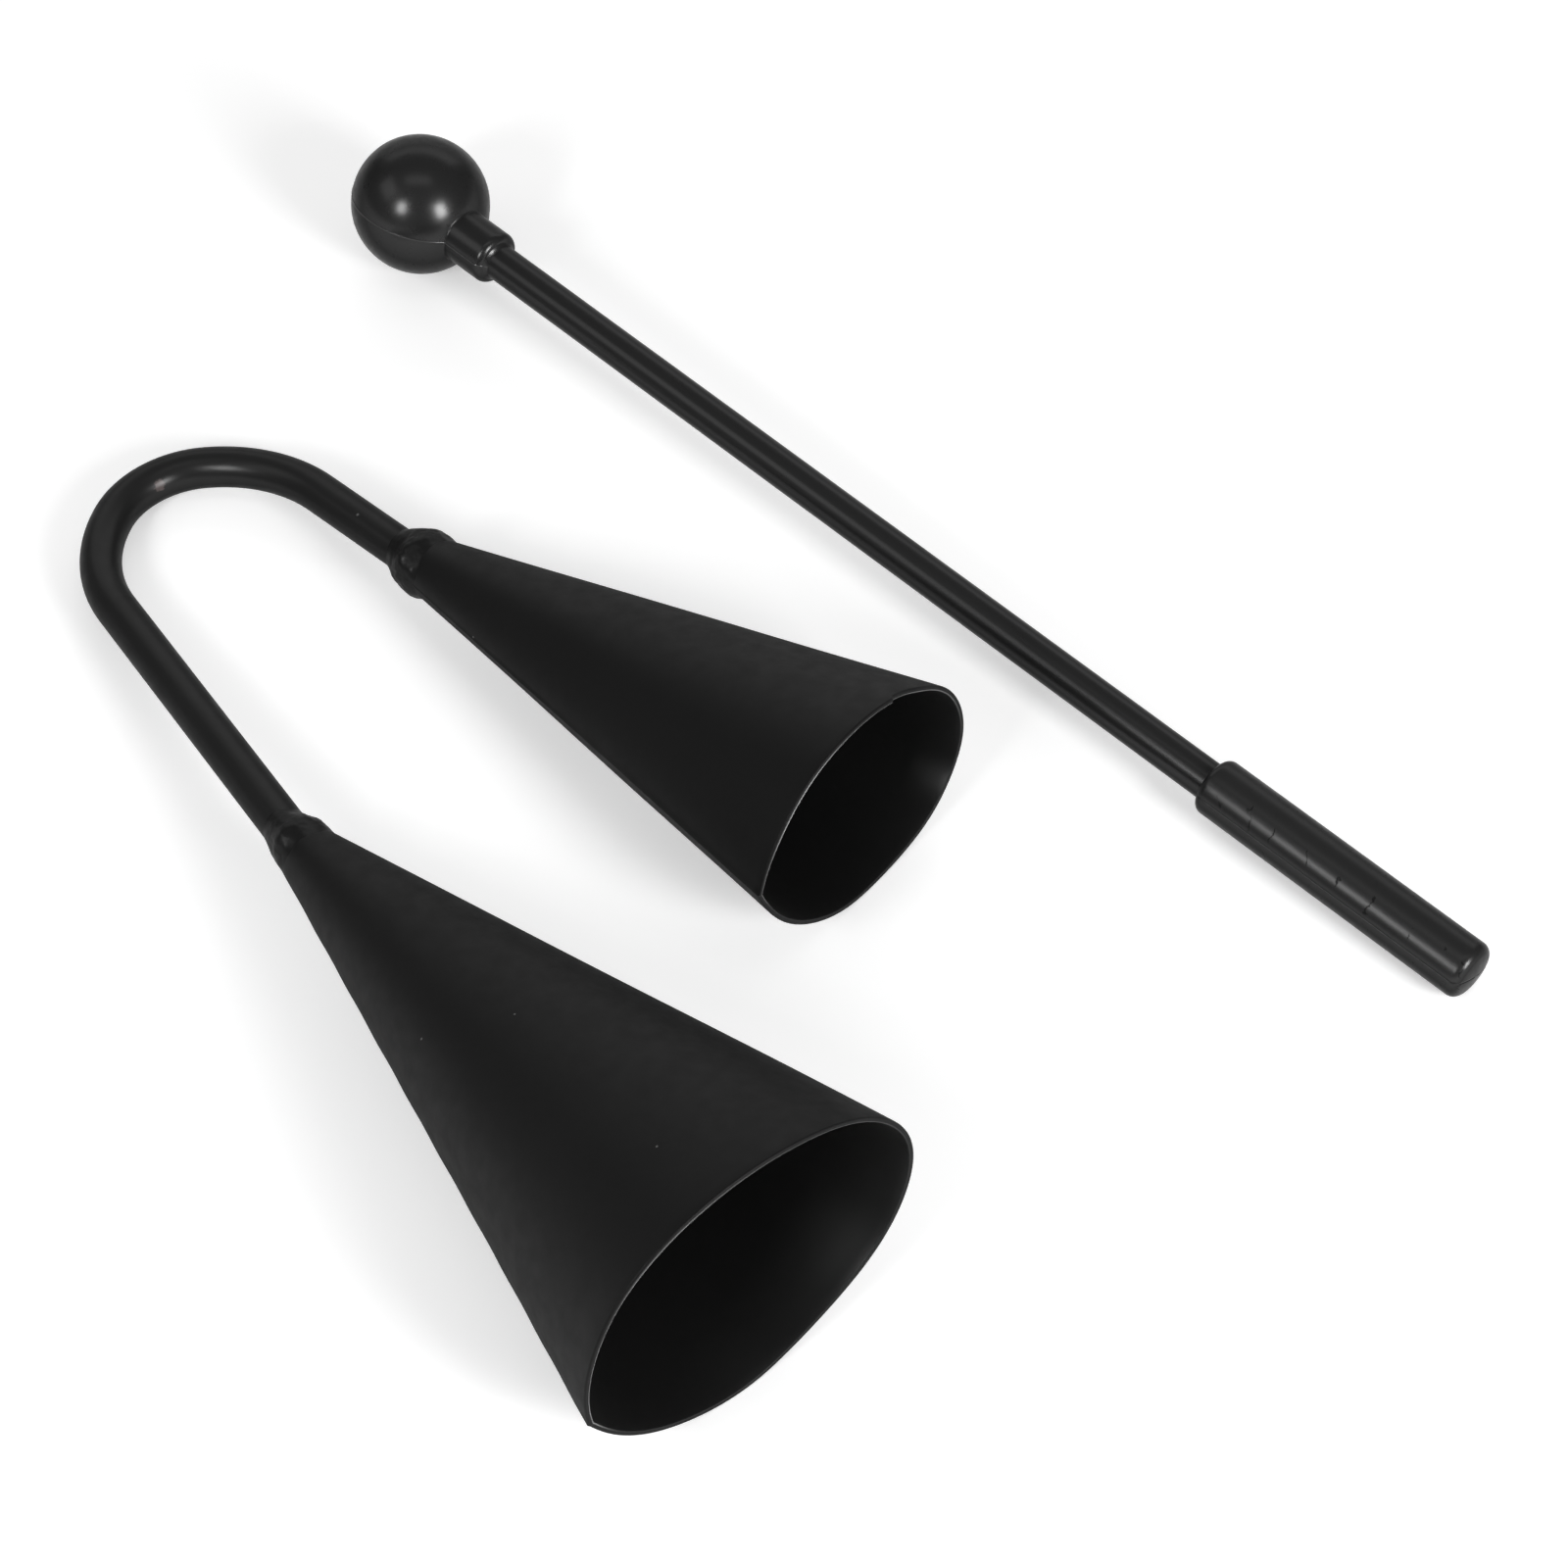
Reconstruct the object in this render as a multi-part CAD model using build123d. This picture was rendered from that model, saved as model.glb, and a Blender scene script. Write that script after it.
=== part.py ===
from build123d import *
import os
from dataclasses import dataclass
from math import asin, atan2, degrees, hypot

# Double agogo bell with its beater, lying on a table. Millimetres, +Z up, table at zero.
# +X runs along the handle's middle line from the bend to the mouths.

# Handle: one round bar bent into a U that is tightest at its apex
BAR_DIAMETER = 9.5
APEX_RADIUS = 20.9
APEX_HALF_ANGLE = 36.1
SHOULDER_RADIUS = 37.4
LEG_SPLAY = 6.0
LARGE_LEG = 84.8
SMALL_LEG = 28.5
SET_RADIUS = 30.0
LARGE_SET_ANGLE = 5.3
SMALL_SET_ANGLE = 5.5
TIP_LENGTH = 12.0

# Bells: sheet rolled into a cone, butted along one side; the mouth is measured from its centre
SHEET = 1.2
NECK_CLEARANCE = 0.1
NECK_START = 2.0
LARGE_LENGTH = 149.0
LARGE_FOLD = 44.0
LARGE_SEAM = 36.3
LARGE_HALF_HEIGHT = 30.7
LARGE_ROLL = 15.2
SMALL_LENGTH = 130.2
SMALL_FOLD = 32.9
SMALL_SEAM = 34.1
SMALL_HALF_HEIGHT = 25.2
SMALL_ROLL = -5.9

# Welds: a bead round each neck, laid as a ring of puddles
BEAD_BACK = 5.0
BEAD_FRONT = 7.0
BEAD_ROOT = 0.6
LARGE_BEAD_RISE = 1.6
SMALL_BEAD_RISE = 2.2
BEAD_PUDDLES = 9
PUDDLE_RADIUS = 2.4
PUDDLE_STAND = 0.3

# Beater: a ball with a collar, a rod and a closed sleeve; lengths run from the ball's centre
BALL_RADIUS = 16.8
COLLAR_RADIUS = 6.6
COLLAR_END = 27.5
COLLAR_FILLET = 1.0
COLLAR_ROUNDING = 1.8
SOCKET_FLOOR = 3.0
SHAFT_RADIUS = 4.4
SHAFT_CHAMFER = 0.5
SLEEVE_CLEARANCE = 0.1
GRIP_START = 250.5
GRIP_END = 321.2
GRIP_RADIUS = 6.65
GRIP_CAP = 5.0
GRIP_SHOULDER = 2.0
GRIP_END_ROUNDING = 2.4

# Where the ball lies on the table from the middle of the handle's bend, and where the beater points
BALL_X = -48.2
BALL_Y = 97.1
BEATER_HEADING = 7.0

OVERRUN = 1.0
SETTLING_ROUNDS = 8
TOUCH_SAMPLES = 120
HALF_TURN = 180

BAR_RADIUS = BAR_DIAMETER / 2
BORE_RADIUS = SHAFT_RADIUS + SLEEVE_CLEARANCE
NECK_RADIUS = BAR_RADIUS + NECK_CLEARANCE + SHEET
UPWARDS = Vector(0, 0, 1)


@dataclass
class Bell:
    name: str
    side: int  # which leg of the U carries it: -1 or +1 along Y
    leg: float  # straight bar between the bend and the neck's set
    set_angle: float  # the bar's last small bend before the neck, towards +Y
    length: float  # neck edge to mouth
    fold: float  # mouth: centre to the folded side
    seam: float  # mouth: centre to the seam
    half_height: float  # mouth: centre to the top
    roll: float  # how far the folded side is turned up about the cone's axis
    bead_rise: float  # weld metal standing above the neck


LARGE = Bell(
    name="large_bell",
    side=-1,
    leg=LARGE_LEG,
    set_angle=LARGE_SET_ANGLE,
    length=LARGE_LENGTH,
    fold=LARGE_FOLD,
    seam=LARGE_SEAM,
    half_height=LARGE_HALF_HEIGHT,
    roll=LARGE_ROLL,
    bead_rise=LARGE_BEAD_RISE,
)
SMALL = Bell(
    name="small_bell",
    side=1,
    leg=SMALL_LEG,
    set_angle=SMALL_SET_ANGLE,
    length=SMALL_LENGTH,
    fold=SMALL_FOLD,
    seam=SMALL_SEAM,
    half_height=SMALL_HALF_HEIGHT,
    roll=SMALL_ROLL,
    bead_rise=SMALL_BEAD_RISE,
)
BELLS = (LARGE, SMALL)


def straight_on(edge, length):
    """Straight run that carries on from the end of an edge."""
    return Line(edge @ 1, (edge @ 1) + (edge % 1) * length)


def bend_path(bell):
    """Half of the bend's centreline: the tight apex, then the wider shoulder."""
    inward = -bell.side
    apex = JernArc((-APEX_RADIUS, 0), (0, bell.side), APEX_RADIUS, inward * APEX_HALF_ANGLE)
    turn_left = HALF_TURN / 2 - APEX_HALF_ANGLE - LEG_SPLAY
    return [apex, JernArc(apex @ 1, apex % 1, SHOULDER_RADIUS, inward * turn_left)]


def leg_path(bell):
    """Centreline from the middle of the bend to the bar's end inside the bell's neck."""
    path = bend_path(bell)
    path.append(straight_on(path[-1], bell.leg))
    path.append(JernArc(path[-1] @ 1, path[-1] % 1, SET_RADIUS, bell.set_angle))
    path.append(straight_on(path[-1], NECK_START + TIP_LENGTH))
    return path


def handle_rod():
    """The bent bar, swept both ways from the middle of the bend."""
    section = Plane((-APEX_RADIUS, 0, 0), z_dir=(0, 1, 0)) * Circle(BAR_RADIUS)
    return Part() + [sweep(section, path=Wire(leg_path(bell))) for bell in BELLS]


def neck_plane(bell):
    """Plane of the bell's neck edge: z along the cone, x towards the folded side."""
    tip = leg_path(bell)[-1]
    axis = tip % 0
    neck = Plane((tip @ 0) + axis * NECK_START, x_dir=UPWARDS.cross(axis), z_dir=axis)
    return Plane(neck.location * Rot(0, 0, bell.roll))


def rolled_outline(fold, seam, half_height):
    """Edge of the rolled sheet: half an oval on the folded side, two arcs that peak at the seam."""
    peak = (-seam, 0)
    return [
        EllipticalCenterArc((0, 0), fold, half_height, start_angle=-HALF_TURN / 2, arc_size=HALF_TURN),
        TangentArc((0, half_height), peak, tangent=(-1, 0)),
        TangentArc((0, -half_height), peak, tangent=(-1, 0)),
    ]


def cone_outline(bell, height, wall):
    """Outline of the cone at a height above its neck, moved in by a wall thickness."""
    share = height / bell.length
    mouth = (bell.fold, bell.seam, bell.half_height)
    sizes = [NECK_RADIUS + (size - NECK_RADIUS) * share - wall for size in mouth]
    return [Pos(0, 0, height) * edge for edge in rolled_outline(*sizes)]


def cone(bell, wall, overrun):
    """Filled cone from the round neck to the oval mouth, run past both ends by an overrun."""
    ends = (-overrun, bell.length + overrun)
    return loft([make_face(cone_outline(bell, height, wall)) for height in ends], ruled=True)


def bell_shell(bell):
    """The rolled sheet, open at the neck for the bar and at the mouth."""
    return neck_plane(bell) * (cone(bell, 0, 0) - cone(bell, SHEET, OVERRUN))


def weld_bead(bell, rod):
    """Ring of weld metal that laps on to the bar behind the neck and on to the cone before it."""
    crest = NECK_RADIUS + bell.bead_rise
    foot = (BAR_RADIUS - BEAD_ROOT, 0, -BEAD_BACK)
    toe = (NECK_RADIUS - BEAD_ROOT, 0, BEAD_FRONT)
    back = ThreePointArc(foot, (crest, 0, 0), toe)
    core = Polyline(toe, (0, 0, BEAD_FRONT), (0, 0, -BEAD_BACK), foot)
    bead = revolve(make_face([back, core]), Axis.Z)
    puddle = Pos(crest + PUDDLE_STAND - PUDDLE_RADIUS, 0, 0) * Sphere(PUDDLE_RADIUS)
    for index in range(BEAD_PUDDLES):
        bead += Rot(0, 0, 2 * HALF_TURN * index / BEAD_PUDDLES) * puddle
    return neck_plane(bell) * (bead - cone(bell, 0, 0)) - rod


def along_x(radius, start, end):
    """Round bar on the beater's axis between two lengths from the ball's centre."""
    align = (Align.CENTER, Align.CENTER, Align.MIN)
    return Pos(start, 0, 0) * Rot(0, HALF_TURN / 2, 0) * Cylinder(radius, end - start, align=align)


def ring_edges(shape):
    """The shape's round edges in order along the beater's axis."""
    return shape.edges().filter_by(GeomType.CIRCLE).sort_by(Axis.X)


def beater_head():
    """Ball and collar in one moulding with a blind socket."""
    head = Sphere(BALL_RADIUS) + along_x(COLLAR_RADIUS, 0, COLLAR_END)
    head = fillet(ring_edges(head)[-2], COLLAR_FILLET)
    head = fillet(ring_edges(head)[-1], COLLAR_ROUNDING)
    return head - along_x(BORE_RADIUS, SOCKET_FLOOR, COLLAR_END + OVERRUN)


def beater_shaft():
    """The rod, from the socket's floor to the end of the sleeve's bore."""
    rod = along_x(SHAFT_RADIUS, SOCKET_FLOOR, GRIP_END - GRIP_CAP)
    return chamfer(ring_edges(rod), SHAFT_CHAMFER)


def beater_grip():
    """The sleeve, rounded at both ends and closed at the rear."""
    sleeve = along_x(GRIP_RADIUS, GRIP_START, GRIP_END)
    sleeve = fillet(ring_edges(sleeve)[0], GRIP_SHOULDER)
    sleeve = fillet(ring_edges(sleeve)[-1], GRIP_END_ROUNDING)
    return sleeve - along_x(BORE_RADIUS, GRIP_START - OVERRUN, GRIP_END - GRIP_CAP)


def beater_place():
    """The beater lies on its ball and on the rounded edge of the grip's end."""
    reach = GRIP_END - GRIP_END_ROUNDING
    drop = GRIP_RADIUS - GRIP_END_ROUNDING
    tilt = asin((BALL_RADIUS - GRIP_END_ROUNDING) / hypot(reach, drop)) - atan2(drop, reach)
    return Pos(BALL_X, BALL_Y, BALL_RADIUS) * Rot(0, 0, BEATER_HEADING) * Rot(0, degrees(tilt), 0)


def sampled(edges):
    """Points spread evenly along a list of edges."""
    return [edge @ (step / TOUCH_SAMPLES) for edge in edges for step in range(TOUCH_SAMPLES + 1)]


def rim_points(bell):
    """Points round the bell's outer rim."""
    return sampled([neck_plane(bell) * edge for edge in cone_outline(bell, bell.length, 0)])


def table_plane():
    """The table in the handle's own frame: it touches the bend and both rims from below."""
    bend = sampled([edge for bell in BELLS for edge in bend_path(bell)])
    rims = [rim_points(bell) for bell in BELLS]
    up = UPWARDS
    for _ in range(SETTLING_ROUNDS):
        bend_touch, large_touch, small_touch = (
            min(points, key=lambda point: point.dot(up)) for points in (bend, *rims)
        )
        bend_touch -= up * BAR_RADIUS
        up = (large_touch - bend_touch).cross(small_touch - bend_touch).normalized()
    return Plane(up * bend_touch.dot(up), x_dir=(1, 0, 0), z_dir=up)


def assembly():
    """Every piece by name, lying on the table, with the origin under the middle of the whole set."""
    rod = handle_rod()
    instrument = {"handle_rod": rod}
    for bell in BELLS:
        instrument[bell.name] = bell_shell(bell)
        instrument[bell.name + "_weld"] = weld_bead(bell, rod)
    beater = {
        "beater_head": beater_head(),
        "beater_shaft": beater_shaft(),
        "beater_grip": beater_grip(),
    }
    settle = table_plane().location.inverse()
    pieces = {name: settle * shape for name, shape in instrument.items()}
    pieces.update({name: beater_place() * shape for name, shape in beater.items()})
    box = Compound(list(pieces.values())).bounding_box()
    centre = Pos(-box.center().X, -box.center().Y, -box.min.Z)
    return {name: centre * shape for name, shape in pieces.items()}


os.makedirs("parts", exist_ok=True)
for node, shape in assembly().items():
    export_step(shape, f"parts/{node}.step")
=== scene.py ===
# %% [markdown]
# # An agogo bell and its beater
# The instrument is two sheet-steel cones on a bent bar, coated black all over, and it lies on a white
# table beside a moulded plastic beater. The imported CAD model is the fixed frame: it says where every
# piece is. This lesson dresses each piece with the form and finish that a close look shows.

# %% Load the frame
import math
from collections import namedtuple

import bmesh
import bpy
import numpy as np
from mathutils import Euler, Matrix, Vector


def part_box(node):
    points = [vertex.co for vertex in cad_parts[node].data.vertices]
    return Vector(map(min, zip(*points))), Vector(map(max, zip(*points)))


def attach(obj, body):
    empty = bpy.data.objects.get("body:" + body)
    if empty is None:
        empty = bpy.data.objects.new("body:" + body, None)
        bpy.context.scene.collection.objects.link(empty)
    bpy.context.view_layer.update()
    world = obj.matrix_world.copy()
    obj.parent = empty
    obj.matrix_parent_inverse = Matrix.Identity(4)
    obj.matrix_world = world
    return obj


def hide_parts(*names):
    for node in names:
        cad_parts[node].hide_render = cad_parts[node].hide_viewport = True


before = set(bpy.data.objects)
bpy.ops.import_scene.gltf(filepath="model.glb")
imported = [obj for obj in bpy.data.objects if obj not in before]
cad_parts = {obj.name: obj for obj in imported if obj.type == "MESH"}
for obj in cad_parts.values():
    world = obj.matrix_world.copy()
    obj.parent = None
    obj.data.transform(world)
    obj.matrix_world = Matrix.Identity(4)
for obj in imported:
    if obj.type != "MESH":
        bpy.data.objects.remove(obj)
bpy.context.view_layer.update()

MM = 0.001
print("CAD nodes:", sorted(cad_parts))

# %% [markdown]
# ## The camera
# The photograph was taken from above the mouths with a long lens. The eye, the point it looks at and
# the lens angle were worked out from the outlines, so the render can be laid over the photograph.

# %% Camera
EYE = Vector((0.42518, -0.28855, 0.61739))
AIM = Vector((0.03452, 0.02608, 0.0))
LENS_ANGLE, FARTHEST = math.radians(24.167), 50.0
scene = bpy.context.scene


def placed(name, data):
    """New object in the scene that shows some data."""
    thing = bpy.data.objects.new(name, data)
    scene.collection.objects.link(thing)
    return thing


camera = placed("camera", bpy.data.cameras.new("camera"))
camera.location = EYE
camera.rotation_euler = (AIM - EYE).to_track_quat("-Z", "Y").to_euler()
camera.data.angle = LENS_ANGLE
camera.data.clip_end = FARTHEST
scene.camera = camera
scene.view_settings.view_transform = "Standard"
print("camera is", round((AIM - EYE).length, 3), "m from the table")

# %% [markdown]
# ## Node helpers
# Shader trees and geometry trees are wired in the same way, so one small helper serves both: it makes
# a node, sets its properties, and gives each input either a plain value or a link. The nodes that come
# up again and again get a short helper each, which hands back the socket of the result.

# %% Node helpers
COLOUR, NUMBER, ARROW = "NodeSocketColor", "NodeSocketFloat", "NodeSocketVector"
GEOMETRY, FINISH, OBJECT = "NodeSocketGeometry", "NodeSocketMaterial", "NodeSocketObject"


def add(tree, kind, feeds=None, **traits):
    """A node of one kind. Feeds give its inputs a value or a socket to link from."""
    node = tree.nodes.new(kind)
    for trait, value in traits.items():
        setattr(node, trait, value)
    for place, value in (feeds or {}).items():
        if isinstance(value, bpy.types.NodeSocket):
            tree.links.new(value, node.inputs[place])
        else:
            node.inputs[place].default_value = value
    return node


def wire(tree, ends, sockets):
    """Links sockets to the ends of a group or the inputs of a shader, by name."""
    for label, socket in sockets.items():
        tree.links.new(socket, ends[label])


def group_of(name, kind, inputs, outputs):
    """A node group with named sockets, and the ends that its inner nodes connect to."""
    tree = bpy.data.node_groups.new(name, kind)
    for label, socket, value in inputs:
        made = tree.interface.new_socket(label, in_out="INPUT", socket_type=socket)
        if value is not None:
            made.default_value = value
    for label, socket in outputs:
        tree.interface.new_socket(label, in_out="OUTPUT", socket_type=socket)
    return tree, tree.nodes.new("NodeGroupInput").outputs, tree.nodes.new("NodeGroupOutput").inputs


print("node helpers ready")

# %% Nodes that come up again
NUMBER_RESULTS = ("DISTANCE", "DOT_PRODUCT", "LENGTH")
NOISE_MIDDLE = 0.5


def grey(value):
    """Neutral colour."""
    return (value, value, value, 1)


def calc(tree, operation, *values, **traits):
    """A math node on numbers or sockets."""
    return add(tree, "ShaderNodeMath", dict(enumerate(values)), operation=operation, **traits).outputs[0]


def vector(tree, operation, *values, **named):
    """A vector math node. The result of a few operations is a number."""
    node = add(tree, "ShaderNodeVectorMath", {**dict(enumerate(values)), **named}, operation=operation)
    return node.outputs["Value" if operation in NUMBER_RESULTS else "Vector"]


def split(tree, arrow):
    """The sockets X, Y and Z of a vector."""
    return add(tree, "ShaderNodeSeparateXYZ", {0: arrow}).outputs


def joined(tree, **parts):
    """A vector from some of its parts X, Y and Z; the others are 0."""
    return add(tree, "ShaderNodeCombineXYZ", parts).outputs[0]


def noise(tree, place, scale, detail=2.0, **named):
    """Noise round a middle value over a place. A fourth place, W, picks another pattern."""
    feeds = {"Vector": place, "Scale": scale, "Detail": detail, **named}
    dimensions = "4D" if "W" in named else "3D"
    return add(tree, "ShaderNodeTexNoise", feeds, noise_dimensions=dimensions).outputs[0]


def ramp(tree, value, start, end, first=0.0, last=1.0):
    """A value mapped from start and end to first and last, and held there beyond them."""
    return add(tree, "ShaderNodeMapRange", {0: value, 1: start, 2: end, 3: first, 4: last}).outputs[0]


def mixed(tree, share, first, second):
    """Two colours mixed by a share."""
    return add(tree, "ShaderNodeMix", {0: share, 6: first, 7: second}, data_type="RGBA").outputs[2]


def blended(tree, share, first, second):
    """Two numbers mixed by a share."""
    return add(tree, "ShaderNodeMix", {0: share, 2: first, 3: second}).outputs[0]


def attribute(tree, name):
    """The value that a mesh carries at each point under a name."""
    return add(tree, "ShaderNodeAttribute", attribute_name=name).outputs["Fac"]


print("common nodes ready")

# %% [markdown]
# ## Table and light
# The table is plain white and takes the soft shadow. On the ball two soft spots of light sit left and
# right of the middle and a dim one above, so there are two soft boxes beside the camera and a dim strip
# overhead. A spot on a ball gives the direction of its lamp, so both boxes are placed as seen from the
# ball. A long streak on the grip takes a left light that is near, and the pale patch inside each mouth
# takes one that is far, so the left light is two boxes in line. The rod has a second, faint streak, which
# takes a wide dim glow farther left. The upper sides of the cones are paler than their middles, which
# takes a wide dim panel behind.

# %% Table
TABLE_HALF, TABLE_TOP = 12.0, -0.1 * MM
TABLE_COLOUR = grey(0.9)
NEAR_GLOW, FAR_GLOW = 0.36, 0.8
GLOW_START, GLOW_END = 0.9, 2.4


def table_white():
    """Pale paint, lifted to white by a glow where the camera or a mirror sees it, and more so far away."""
    paint = bpy.data.materials.new("table_white")
    paint.use_nodes = True
    tree = paint.node_tree
    tree.nodes.clear()
    seen = add(tree, "ShaderNodeLightPath").outputs
    rays = calc(tree, "MAXIMUM", seen["Is Camera Ray"], seen["Is Glossy Ray"])
    rays = calc(tree, "MAXIMUM", rays, seen["Is Transmission Ray"])
    far = vector(tree, "LENGTH", add(tree, "ShaderNodeTexCoord").outputs["Object"])
    lift = calc(tree, "MULTIPLY", rays, ramp(tree, far, GLOW_START, GLOW_END, NEAR_GLOW, FAR_GLOW))
    glow = add(tree, "ShaderNodeEmission", {"Color": grey(1.0), "Strength": lift})
    flat = add(tree, "ShaderNodeBsdfDiffuse", {"Color": TABLE_COLOUR})
    both = add(tree, "ShaderNodeAddShader", {0: flat.outputs[0], 1: glow.outputs[0]})
    add(tree, "ShaderNodeOutputMaterial", {"Surface": both.outputs[0]})
    return paint


def white_table():
    """Wide floor that reads white to the camera and keeps the object's shadow."""
    mesh = bpy.data.meshes.new("table")
    corners = [(-1, -1), (1, -1), (1, 1), (-1, 1)]
    mesh.from_pydata([(TABLE_HALF * x, TABLE_HALF * y, TABLE_TOP) for x, y in corners], [], [(0, 1, 2, 3)])
    mesh.materials.append(table_white())
    table = placed("table", mesh)


white_table()
print("table is", 2 * TABLE_HALF, "m wide")

# %% Lights
view_bearing = math.degrees(math.atan2(EYE.y - AIM.y, EYE.x - AIM.x))
BALL_SPOT, MIDDLE = Vector((-0.151, 0.063, 0.017)), Vector((0, 0, 0))
# Directions are a bearing and a height in degrees.
LEFT, FAR_LEFT, RIGHT = (-69.7, 31.7), (-117.0, 41.0), (3.0, 22.6)
ABOVE, BEHIND = (view_bearing, 86.0), (view_bearing + 180, 24.0)
ROOM_GLOW = 0.22


def soft_box(name, seen_from, direction, distance, size, radiance):
    """Soft light of a width and a height, in a direction from a point and aimed at it."""
    bearing, height = direction
    lamp = bpy.data.lights.new(name, "AREA")
    lamp.shape = "RECTANGLE"
    lamp.size, lamp.size_y = size
    lamp.energy = radiance * math.pi * size[0] * size[1]
    box = placed(name, lamp)
    box.visible_camera = False
    out = Vector((0, 0, distance))
    out.rotate(Euler((0, math.radians(90 - height), math.radians(bearing))))
    box.location = seen_from + out
    box.rotation_euler = (-out).to_track_quat("-Z", "Y").to_euler()


soft_box("left_box_near", BALL_SPOT, LEFT, distance=0.63, size=(0.126, 0.165), radiance=8.5)
soft_box("left_box_far", BALL_SPOT, LEFT, distance=1.6, size=(0.32, 0.42), radiance=9.0)
soft_box("right_box", BALL_SPOT, RIGHT, distance=1.3, size=(0.34, 0.46), radiance=20.0)
soft_box("left_glow", BALL_SPOT, FAR_LEFT, distance=1.5, size=(0.8, 0.6), radiance=0.9)
soft_box("top_strip", MIDDLE, ABOVE, distance=2.2, size=(1.6, 0.6), radiance=0.6)
soft_box("back_panel", MIDDLE, BEHIND, distance=2.6, size=(4.0, 1.8), radiance=1.25)

world = bpy.data.worlds.new("studio")
scene.world = world
world.use_nodes = True
backdrop = world.node_tree.nodes["Background"]
backdrop.inputs["Color"].default_value = grey(1.0)
backdrop.inputs["Strength"].default_value = ROOM_GLOW

# %% [markdown]
# ## Finishes
# Everything is black, so the finishes differ in gloss and grain and not in colour. The steel has a
# sprayed coat that is matte with a faint orange peel and pools into gloss on the welds. The beater is
# moulded plastic: satin on the ball, smoother on the rod, and shiny and creased on the soft sleeve.
# What they share is built once as node groups and placed in each finish with its own values.


# %% Shared effects
def skin_group(name, cloud, patch, spread, limits, grain, detail):
    """Skin of a surface: a cloudy tone, a patchy roughness between two limits, and a grainy height."""
    inputs = [
        ("Vector", ARROW, None),
        ("Dark", COLOUR, grey(0.008)),
        ("Pale", COLOUR, grey(0.012)),
        ("Smooth", NUMBER, limits[0]),
        ("Rough", NUMBER, limits[1]),
        ("Grain", NUMBER, grain),
    ]
    outputs = [("Color", COLOUR), ("Roughness", NUMBER), ("Height", NUMBER)]
    tree, given, out = group_of(name, "ShaderNodeTree", inputs, outputs)
    place = given["Vector"]
    tone = mixed(tree, noise(tree, place, **cloud), given["Dark"], given["Pale"])
    gloss = ramp(tree, noise(tree, place, **patch), *spread, given["Smooth"], given["Rough"])
    height = noise(tree, place, given["Grain"], detail)
    wire(tree, out, {"Color": tone, "Roughness": gloss, "Height": height})
    return tree


def chip_group():
    """Small worn spot with a ragged edge round a point of the surface."""
    inputs = [("Vector", ARROW, None), ("Centre", ARROW, None), ("Size", NUMBER, 1 * MM)]
    tree, given, out = group_of("chip", "ShaderNodeTree", inputs, [("Mask", NUMBER)])
    away = vector(tree, "DISTANCE", given["Vector"], given["Centre"])
    share = calc(tree, "DIVIDE", away, given["Size"])
    frayed = calc(tree, "ADD", share, noise(tree, given["Vector"], scale=1500.0))
    wire(tree, out, {"Mask": ramp(tree, frayed, start=1.45, end=1.15)})
    return tree


# The sprayed coat is a little cloudy and has an orange peel.
coat_skin = skin_group(
    "coat_skin", cloud={"scale": 42.0, "detail": 3.0}, patch={"scale": 260.0},
    spread=(0.3, 0.7), limits=(0.4, 0.55), grain=900.0, detail=2.0,
)
# Moulded plastic has faint flow bands, handling scuffs that dull its gloss, and a fine skin.
mould_skin = skin_group(
    "mould_skin", cloud={"scale": 30.0, "detail": 4.0, "Distortion": 0.6},
    patch={"scale": 420.0, "detail": 5.0, "Roughness": 0.65},
    spread=(0.35, 0.75), limits=(0.25, 0.45), grain=1200.0, detail=3.0,
)
chip = chip_group()
print("shared effects:", coat_skin.name, chip.name, mould_skin.name)

# %% Finish helpers
FACING_BLEND, DULL_POWER = 0.5, 1.6
GLOSS_FULL, GLOSS_FADED, GLOSS_LEAST = 0.06, 0.46, 0.05


def finish(name, specular):
    """New material with a Principled shader, and the Object coordinates its patterns read."""
    material = bpy.data.materials.new(name)
    material.use_nodes = True
    tree = material.node_tree
    shader = tree.nodes["Principled BSDF"]
    shader.inputs["Specular IOR Level"].default_value = specular
    place = add(tree, "ShaderNodeTexCoord").outputs["Object"]
    return material, tree, shader, place


def skin(tree, group, place, **values):
    """One of the shared effects, placed in a finish with its own values."""
    return add(tree, "ShaderNodeGroup", {"Vector": place, **values}, node_tree=group).outputs


def raise_skin(tree, shader, height, strength, depth):
    """Turns a height into the shader's normal."""
    bump = add(tree, "ShaderNodeBump", {"Height": height, "Strength": strength, "Distance": depth})
    tree.links.new(bump.outputs[0], shader.inputs["Normal"])


def turned_away(tree):
    """0 where the surface faces the eye, 1 at its outline."""
    return add(tree, "ShaderNodeLayerWeight", {"Blend": FACING_BLEND}).outputs["Facing"]


def dulled(tree, shader, roughness, dulling):
    """Feeds the roughness, raised where the surface turns away, so that edges do not mirror the table."""
    edge = calc(tree, "POWER", turned_away(tree), DULL_POWER)
    rough = calc(tree, "MULTIPLY_ADD", edge, dulling, roughness, use_clamp=True)
    tree.links.new(rough, shader.inputs["Roughness"])


def glossed(tree, shader, weight, roughness, mask=None):
    """Clear gloss over a finish, which fades where the surface turns away; a mask may break it."""
    coat = ramp(tree, turned_away(tree), GLOSS_FULL, GLOSS_FADED, weight, GLOSS_LEAST * weight)
    if mask is not None:
        coat = calc(tree, "MULTIPLY", coat, mask)
    tree.links.new(coat, shader.inputs["Coat Weight"])
    shader.inputs["Coat Roughness"].default_value = roughness


def marked(tree, tone, place, marks, colour):
    """A tone with small worn spots in a paler colour; each mark is a place and a size in metres."""
    for centre, size in marks:
        worn = skin(tree, chip, place, Centre=centre, Size=size)["Mask"]
        tone = mixed(tree, worn, tone, colour)
    return tone


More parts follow.
